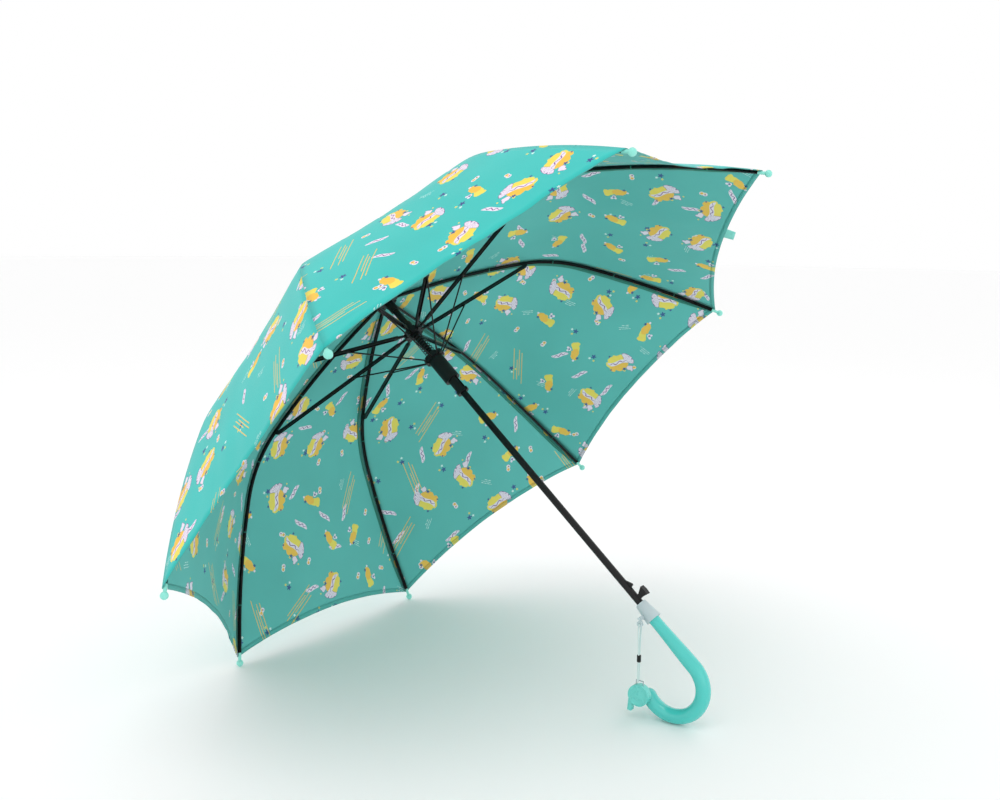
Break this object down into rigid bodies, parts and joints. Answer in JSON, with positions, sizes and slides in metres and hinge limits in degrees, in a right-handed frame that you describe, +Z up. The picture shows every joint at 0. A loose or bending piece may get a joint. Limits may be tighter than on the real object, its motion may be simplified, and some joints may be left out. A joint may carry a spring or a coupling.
{
  "type": "umbrella",
  "caption": "Child's stick umbrella, open and resting on the floor, with a printed dome canopy, ball tips, an automatic frame, a hook handle and a whistle on a lanyard.",
  "frame": {"origin": "on the floor, under the middle of the open umbrella's bounding box", "axes": "+Z up; +X level, along the shaft from the crown towards the handle; +Y level, to the umbrella's left side when the handle points at the viewer"},
  "size_m": [0.5713, 0.7844, 0.5999],
  "materials": {
    "black_steel": "black semi-gloss enamel",
    "black_plastic": "satin black",
    "steel_wire": "zinc-plated wire",
    "mint_plastic": "pale mint, slightly translucent",
    "canopy_fabric": "printed pongee with a dark bound hem",
    "strap_fabric": "folded pongee",
    "clear_grey_plastic": "translucent grey-blue",
    "turquoise_plastic": "glossy turquoise",
    "whistle_plastic": "turquoise",
    "lanyard_cord": "pale translucent cord"
  },
  "bodies": {
    "stick": {"shaft_tube": "black_steel", "ferrule": "mint_plastic", "top_cap": "mint_plastic", "crown": "black_plastic", "crown_wire": "steel_wire", "collar": "clear_grey_plastic", "handle": "turquoise_plastic"},
    "hub": {"hub": "black_plastic"},
    "runner": {"lower_runner": "black_plastic", "opening_spring": "steel_wire"},
    "rib_1": {"rib_1": "black_steel", "tip_1": "mint_plastic"},
    "rib_2": {"rib_2": "black_steel", "tip_2": "mint_plastic"},
    "rib_3": {"rib_3": "black_steel", "tip_3": "mint_plastic"},
    "rib_4": {"rib_4": "black_steel", "tip_4": "mint_plastic"},
    "rib_5": {"rib_5": "black_steel", "tip_5": "mint_plastic"},
    "rib_6": {"rib_6": "black_steel", "tip_6": "mint_plastic"},
    "rib_7": {"rib_7": "black_steel", "tip_7": "mint_plastic"},
    "rib_8": {"rib_8": "black_steel", "tip_8": "mint_plastic"},
    "stretcher_1": {"stretcher_1": "black_steel"},
    "stretcher_2": {"stretcher_2": "black_steel"},
    "stretcher_3": {"stretcher_3": "black_steel"},
    "stretcher_4": {"stretcher_4": "black_steel"},
    "stretcher_5": {"stretcher_5": "black_steel"},
    "stretcher_6": {"stretcher_6": "black_steel"},
    "stretcher_7": {"stretcher_7": "black_steel"},
    "stretcher_8": {"stretcher_8": "black_steel"},
    "strut_1": {"strut_1": "black_steel"},
    "strut_2": {"strut_2": "black_steel"},
    "strut_3": {"strut_3": "black_steel"},
    "strut_4": {"strut_4": "black_steel"},
    "strut_5": {"strut_5": "black_steel"},
    "strut_6": {"strut_6": "black_steel"},
    "strut_7": {"strut_7": "black_steel"},
    "strut_8": {"strut_8": "black_steel"},
    "panel_1": {"panel_1": "canopy_fabric"},
    "panel_2": {"panel_2": "canopy_fabric"},
    "panel_3": {"panel_3": "canopy_fabric"},
    "panel_4": {"panel_4": "canopy_fabric"},
    "panel_5": {"panel_5": "canopy_fabric", "tie_strap": "strap_fabric"},
    "panel_6": {"panel_6": "canopy_fabric"},
    "panel_7": {"panel_7": "canopy_fabric"},
    "panel_8": {"panel_8": "canopy_fabric"},
    "button": {"release_button": "black_plastic"},
    "catch": {"latch_catch": "black_plastic"},
    "lanyard": {"lanyard_cord": "lanyard_cord", "lanyard_bead": "black_plastic"},
    "whistle": {"whistle_ring": "steel_wire", "whistle_body": "whistle_plastic"}
  },
  "joints": [
    {"name": "hub_slide", "type": "slide", "parent": "stick", "child": "hub", "axis": [-0.7519, 0, 0.6593], "range_m": [-0.3172, 0], "stiffness_N_per_m": 20, "springref_m": 0.1, "deforming": ["opening_spring", "panel_1", "panel_2", "panel_3", "panel_4", "panel_5", "panel_6", "panel_7", "panel_8", "tie_strap"]},
    {"name": "runner_slide", "type": "slide", "parent": "stick", "child": "runner", "axis": [-0.7519, 0, 0.6593], "range_m": [-0.29137, 0]},
    {"name": "rib_1_hinge", "type": "hinge", "parent": "stick", "child": "rib_1", "pos_m": [-0.16171, -0.00421, 0.42932], "axis": [-0.2523, 0.9239, -0.2877], "range_deg": [-60.03, 0]},
    {"name": "rib_2_hinge", "type": "hinge", "parent": "stick", "child": "rib_2", "pos_m": [-0.15778, -0.01016, 0.43379], "axis": [-0.6091, 0.3827, -0.6947], "range_deg": [-60.03, 0]},
    {"name": "rib_3_hinge", "type": "hinge", "parent": "stick", "child": "rib_3", "pos_m": [-0.15223, -0.01016, 0.44012], "axis": [-0.6091, -0.3827, -0.6947], "range_deg": [-60.03, 0]},
    {"name": "rib_4_hinge", "type": "hinge", "parent": "stick", "child": "rib_4", "pos_m": [-0.14831, -0.00421, 0.4446], "axis": [-0.2523, -0.9239, -0.2877], "range_deg": [-60.03, 0]},
    {"name": "rib_5_hinge", "type": "hinge", "parent": "stick", "child": "rib_5", "pos_m": [-0.14831, 0.00421, 0.4446], "axis": [0.2523, -0.9239, 0.2877], "range_deg": [-60.03, 0]},
    {"name": "rib_6_hinge", "type": "hinge", "parent": "stick", "child": "rib_6", "pos_m": [-0.15223, 0.01016, 0.44012], "axis": [0.6091, -0.3827, 0.6947], "range_deg": [-60.03, 0]},
    {"name": "rib_7_hinge", "type": "hinge", "parent": "stick", "child": "rib_7", "pos_m": [-0.15778, 0.01016, 0.43379], "axis": [0.6091, 0.3827, 0.6947], "range_deg": [-60.03, 0]},
    {"name": "rib_8_hinge", "type": "hinge", "parent": "stick", "child": "rib_8", "pos_m": [-0.16171, 0.00421, 0.42932], "axis": [0.2523, 0.9239, 0.2877], "range_deg": [-60.03, 0]},
    {"name": "stretcher_1_hinge", "type": "hinge", "parent": "rib_1", "child": "stretcher_1", "pos_m": [-0.26202, -0.08049, 0.27234], "axis": [0.2523, -0.9239, 0.2877], "range_deg": [-120.06, 0]},
    {"name": "stretcher_2_hinge", "type": "hinge", "parent": "rib_2", "child": "stretcher_2", "pos_m": [-0.18697, -0.19433, 0.35793], "axis": [0.6091, -0.3827, 0.6947], "range_deg": [-120.06, 0]},
    {"name": "stretcher_3_hinge", "type": "hinge", "parent": "rib_3", "child": "stretcher_3", "pos_m": [-0.08084, -0.19433, 0.47898], "axis": [0.6091, 0.3827, 0.6947], "range_deg": [-120.06, 0]},
    {"name": "stretcher_4_hinge", "type": "hinge", "parent": "rib_4", "child": "stretcher_4", "pos_m": [-0.00579, -0.08049, 0.56457], "axis": [0.2523, 0.9239, 0.2877], "range_deg": [-120.06, 0]},
    {"name": "stretcher_5_hinge", "type": "hinge", "parent": "rib_5", "child": "stretcher_5", "pos_m": [-0.00579, 0.08049, 0.56457], "axis": [-0.2523, 0.9239, -0.2877], "range_deg": [-120.06, 0]},
    {"name": "stretcher_6_hinge", "type": "hinge", "parent": "rib_6", "child": "stretcher_6", "pos_m": [-0.08084, 0.19433, 0.47898], "axis": [-0.6091, 0.3827, -0.6947], "range_deg": [-120.06, 0]},
    {"name": "stretcher_7_hinge", "type": "hinge", "parent": "rib_7", "child": "stretcher_7", "pos_m": [-0.18697, 0.19433, 0.35793], "axis": [-0.6091, -0.3827, -0.6947], "range_deg": [-120.06, 0]},
    {"name": "stretcher_8_hinge", "type": "hinge", "parent": "rib_8", "child": "stretcher_8", "pos_m": [-0.26202, 0.08049, 0.27234], "axis": [-0.2523, -0.9239, -0.2877], "range_deg": [-120.06, 0]},
    {"name": "strut_1_hinge", "type": "hinge", "parent": "stretcher_1", "child": "strut_1", "pos_m": [-0.17598, -0.03477, 0.34372], "axis": [-0.2523, 0.9239, -0.2877], "range_deg": [-22.17, 0]},
    {"name": "strut_2_hinge", "type": "hinge", "parent": "stretcher_2", "child": "strut_2", "pos_m": [-0.14357, -0.08393, 0.38069], "axis": [-0.6091, 0.3827, -0.6947], "range_deg": [-22.17, 0]},
    {"name": "strut_3_hinge", "type": "hinge", "parent": "stretcher_3", "child": "strut_3", "pos_m": [-0.09773, -0.08393, 0.43297], "axis": [-0.6091, -0.3827, -0.6947], "range_deg": [-22.17, 0]},
    {"name": "strut_4_hinge", "type": "hinge", "parent": "stretcher_4", "child": "strut_4", "pos_m": [-0.06531, -0.03477, 0.46994], "axis": [-0.2523, -0.9239, -0.2877], "range_deg": [-22.17, 0]},
    {"name": "strut_5_hinge", "type": "hinge", "parent": "stretcher_5", "child": "strut_5", "pos_m": [-0.06531, 0.03477, 0.46994], "axis": [0.2523, -0.9239, 0.2877], "range_deg": [-22.17, 0]},
    {"name": "strut_6_hinge", "type": "hinge", "parent": "stretcher_6", "child": "strut_6", "pos_m": [-0.09773, 0.08393, 0.43297], "axis": [0.6091, -0.3827, 0.6947], "range_deg": [-22.17, 0]},
    {"name": "strut_7_hinge", "type": "hinge", "parent": "stretcher_7", "child": "strut_7", "pos_m": [-0.14357, 0.08393, 0.38069], "axis": [0.6091, 0.3827, 0.6947], "range_deg": [-22.17, 0]},
    {"name": "strut_8_hinge", "type": "hinge", "parent": "stretcher_8", "child": "strut_8", "pos_m": [-0.17598, 0.03477, 0.34372], "axis": [0.2523, 0.9239, 0.2877], "range_deg": [-22.17, 0]},
    {"name": "panel_1_fold", "type": "hinge", "parent": "rib_1", "child": "panel_1", "pos_m": [-0.16056, -0.00842, 0.43063], "axis": [-0.7652, -0.6239, -0.1588], "range_deg": [-44.15, 0]},
    {"name": "panel_2_fold", "type": "hinge", "parent": "rib_2", "child": "panel_2", "pos_m": [-0.15501, -0.01191, 0.43696], "axis": [-0.3539, -0.8823, 0.3103], "range_deg": [-44.15, 0]},
    {"name": "panel_3_fold", "type": "hinge", "parent": "rib_3", "child": "panel_3", "pos_m": [-0.14946, -0.00842, 0.44329], "axis": [0.0574, -0.6239, 0.7794], "range_deg": [-44.15, 0]},
    {"name": "panel_4_fold", "type": "hinge", "parent": "rib_4", "child": "panel_4", "pos_m": [-0.14716, 0, 0.44591], "axis": [0.2278, 0, 0.9737], "range_deg": [-44.15, 0]},
    {"name": "panel_5_fold", "type": "hinge", "parent": "rib_5", "child": "panel_5", "pos_m": [-0.14946, 0.00842, 0.44329], "axis": [0.0574, 0.6239, 0.7794], "range_deg": [-44.15, 0]},
    {"name": "panel_6_fold", "type": "hinge", "parent": "rib_6", "child": "panel_6", "pos_m": [-0.15501, 0.01191, 0.43696], "axis": [-0.3539, 0.8823, 0.3103], "range_deg": [-44.15, 0]},
    {"name": "panel_7_fold", "type": "hinge", "parent": "rib_7", "child": "panel_7", "pos_m": [-0.16056, 0.00842, 0.43063], "axis": [-0.7652, 0.6239, -0.1588], "range_deg": [-44.15, 0]},
    {"name": "panel_8_fold", "type": "hinge", "parent": "rib_8", "child": "panel_8", "pos_m": [-0.16286, 0, 0.42801], "axis": [-0.9356, 0, -0.3531], "range_deg": [-44.15, 0]},
    {"name": "button_press", "type": "slide", "parent": "stick", "child": "button", "axis": [-0.6593, 0, -0.7519], "range_m": [0, 0.003], "stiffness_N_per_m": 300},
    {"name": "catch_press", "type": "slide", "parent": "stick", "child": "catch", "axis": [-0.6593, 0, -0.7519], "range_m": [0, 0.0038], "stiffness_N_per_m": 150},
    {"name": "lanyard_swing", "type": "hinge", "parent": "stick", "child": "lanyard", "pos_m": [0.20824, -0.0133, 0.10649], "axis": [0, 1, 0], "range_deg": [-40, 40]},
    {"name": "whistle_swing", "type": "hinge", "parent": "lanyard", "child": "whistle", "pos_m": [0.20824, -0.0133, 0.04349], "axis": [1, 0, 0], "range_deg": [-35, 1.5]}
  ],
  "couplings": [
    {"joint": "runner_slide", "follows": "hub_slide", "ratio": 0.91812},
    {"joint": "rib_1_hinge", "follows": "hub_slide", "rad_per_m": 3.3014},
    {"joint": "rib_2_hinge", "follows": "hub_slide", "rad_per_m": 3.3014},
    {"joint": "rib_3_hinge", "follows": "hub_slide", "rad_per_m": 3.3014},
    {"joint": "rib_4_hinge", "follows": "hub_slide", "rad_per_m": 3.3014},
    {"joint": "rib_5_hinge", "follows": "hub_slide", "rad_per_m": 3.3014},
    {"joint": "rib_6_hinge", "follows": "hub_slide", "rad_per_m": 3.3014},
    {"joint": "rib_7_hinge", "follows": "hub_slide", "rad_per_m": 3.3014},
    {"joint": "rib_8_hinge", "follows": "hub_slide", "rad_per_m": 3.3014},
    {"joint": "stretcher_1_hinge", "follows": "hub_slide", "rad_per_m": 6.6027},
    {"joint": "stretcher_2_hinge", "follows": "hub_slide", "rad_per_m": 6.6027},
    {"joint": "stretcher_3_hinge", "follows": "hub_slide", "rad_per_m": 6.6027},
    {"joint": "stretcher_4_hinge", "follows": "hub_slide", "rad_per_m": 6.6027},
    {"joint": "stretcher_5_hinge", "follows": "hub_slide", "rad_per_m": 6.6027},
    {"joint": "stretcher_6_hinge", "follows": "hub_slide", "rad_per_m": 6.6027},
    {"joint": "stretcher_7_hinge", "follows": "hub_slide", "rad_per_m": 6.6027},
    {"joint": "stretcher_8_hinge", "follows": "hub_slide", "rad_per_m": 6.6027},
    {"joint": "strut_1_hinge", "follows": "hub_slide", "rad_per_m": 1.2192},
    {"joint": "strut_2_hinge", "follows": "hub_slide", "rad_per_m": 1.2192},
    {"joint": "strut_3_hinge", "follows": "hub_slide", "rad_per_m": 1.2192},
    {"joint": "strut_4_hinge", "follows": "hub_slide", "rad_per_m": 1.2192},
    {"joint": "strut_5_hinge", "follows": "hub_slide", "rad_per_m": 1.2192},
    {"joint": "strut_6_hinge", "follows": "hub_slide", "rad_per_m": 1.2192},
    {"joint": "strut_7_hinge", "follows": "hub_slide", "rad_per_m": 1.2192},
    {"joint": "strut_8_hinge", "follows": "hub_slide", "rad_per_m": 1.2192},
    {"joint": "panel_1_fold", "follows": "hub_slide", "rad_per_m": 2.4278},
    {"joint": "panel_2_fold", "follows": "hub_slide", "rad_per_m": 2.4278},
    {"joint": "panel_3_fold", "follows": "hub_slide", "rad_per_m": 2.4278},
    {"joint": "panel_4_fold", "follows": "hub_slide", "rad_per_m": 2.4278},
    {"joint": "panel_5_fold", "follows": "hub_slide", "rad_per_m": 2.4278},
    {"joint": "panel_6_fold", "follows": "hub_slide", "rad_per_m": 2.4278},
    {"joint": "panel_7_fold", "follows": "hub_slide", "rad_per_m": 2.4278},
    {"joint": "panel_8_fold", "follows": "hub_slide", "rad_per_m": 2.4278},
    {"joint": "catch_press", "follows": "button_press", "ratio": 1.25}
  ]
}
